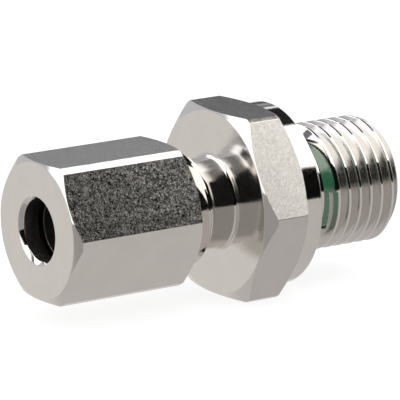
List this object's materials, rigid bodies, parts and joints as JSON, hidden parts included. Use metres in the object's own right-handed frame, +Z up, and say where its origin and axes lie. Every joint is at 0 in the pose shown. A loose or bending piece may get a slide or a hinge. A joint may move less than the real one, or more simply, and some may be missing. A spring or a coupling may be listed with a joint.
{
  "type": "screw-in tube fitting",
  "caption": "Straight screw-in tube fitting: a hexagon body with a parallel pipe stud and captive seal, and a union nut over a cutting ring that grips a metal tube.",
  "frame": {"origin": "on the fitting's axis, half way between the nut's front face and the end of the stud", "axes": "+X along the axis towards the stud's end, +Z up with the flats of both hexagons level above and below the axis"},
  "size_m": [0.04, 0.0216, 0.019],
  "materials": {
    "body_steel": "turned and lightly polished stainless steel",
    "seal_rubber": "smooth green elastomer",
    "ring_steel": "turned stainless steel",
    "nut_steel": "turned stainless steel with a finely speckled hexagon"
  },
  "bodies": {
    "stud": {"stud_body": "body_steel", "stud_seal": "seal_rubber"},
    "ring": {"cutting_ring": "ring_steel"},
    "nut": {"union_nut": "nut_steel"}
  },
  "joints": [
    {"name": "ring_slide", "type": "slide", "parent": "stud", "child": "ring", "axis": [-1, 0, 0], "range_m": [-0.00126, 0.00301]},
    {"name": "nut_turn", "type": "hinge", "parent": "ring", "child": "nut", "pos_m": [-0.0125, 0, 0], "axis": [-1, 0, 0], "range_deg": [-300, 720]}
  ],
  "couplings": [
    {"joint": "ring_slide", "follows": "nut_turn", "m_per_rad": 0.00023873}
  ]
}
